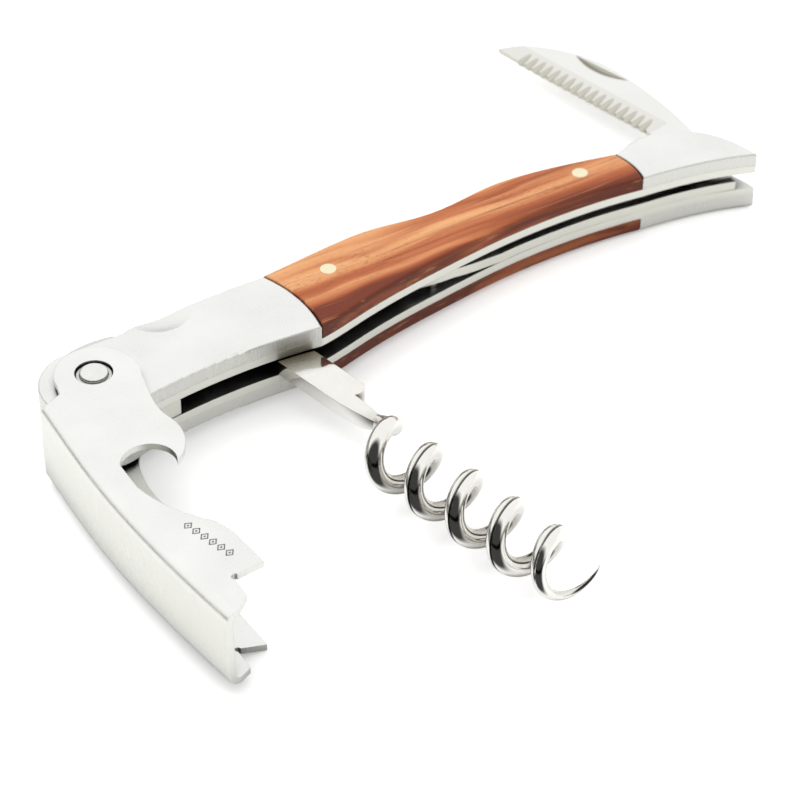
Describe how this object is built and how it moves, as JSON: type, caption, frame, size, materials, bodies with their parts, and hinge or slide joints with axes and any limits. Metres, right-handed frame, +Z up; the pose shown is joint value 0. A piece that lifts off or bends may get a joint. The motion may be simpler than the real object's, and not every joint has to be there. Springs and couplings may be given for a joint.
{
  "type": "waiters corkscrew",
  "caption": "Folding waiters corkscrew with wooden scales between steel bolsters, a bottle-rim lever, a folding worm and a serrated foil blade.",
  "frame": {"origin": "on the flat underside of the handle, midway between the two brass scale pins", "axes": "+X along the handle from the lever end to the blade end, +Y towards the handle's back, where the blade stands open, +Z up through the handle's thickness"},
  "size_m": [0.1232, 0.1116, 0.0156],
  "materials": {
    "bolster_steel": "fine satin",
    "liner_steel": "ground edge",
    "spring_steel": "ground edge",
    "pin_steel": "turned",
    "lever_steel": "fine satin",
    "blade_steel": "fine satin",
    "polished_steel": "mirror polish",
    "rosewood": "oiled, fine grain along X",
    "brass": "polished flush"
  },
  "bodies": {
    "handle": {"lower_liner": "liner_steel", "upper_liner": "liner_steel", "lower_head_bolster": "bolster_steel", "upper_head_bolster": "bolster_steel", "lower_tail_bolster": "bolster_steel", "upper_tail_bolster": "bolster_steel", "lower_scale": "rosewood", "upper_scale": "rosewood", "back_spring": "spring_steel", "head_spacer": "spring_steel", "blade_spring": "spring_steel", "front_scale_pin": "brass", "rear_scale_pins": "brass", "worm_pin": "pin_steel", "blade_pin": "pin_steel", "back_spring_pin": "pin_steel", "blade_spring_pin": "pin_steel", "head_spacer_pin": "pin_steel"},
    "pivot": {"lever_pin": "pin_steel"},
    "lever": {"lever": "lever_steel", "lever_bushes": "pin_steel", "lever_washers": "pin_steel"},
    "worm": {"worm": "polished_steel"},
    "blade": {"blade": "blade_steel"}
  },
  "joints": [
    {"name": "lever_fold", "type": "hinge", "parent": "handle", "child": "pivot", "pos_m": [-0.06355, -0.00465, 0.005], "axis": [0, 0, 1], "range_deg": [0, 90]},
    {"name": "lever_swing", "type": "hinge", "parent": "pivot", "child": "lever", "pos_m": [-0.06355, -0.00465, 0.005], "axis": [0, 0, 1], "range_deg": [-100, 0]},
    {"name": "worm_fold", "type": "hinge", "parent": "handle", "child": "worm", "pos_m": [-0.03555, -0.00595, 0.005], "axis": [0, 0, 1], "range_deg": [0, 75]},
    {"name": "blade_fold", "type": "hinge", "parent": "handle", "child": "blade", "pos_m": [0.04245, -0.00365, 0.005], "axis": [0, 0, 1], "range_deg": [-84, 81]}
  ],
  "couplings": [
    {"joint": "worm_fold", "follows": "lever_fold", "ratio": 0.8333}
  ]
}
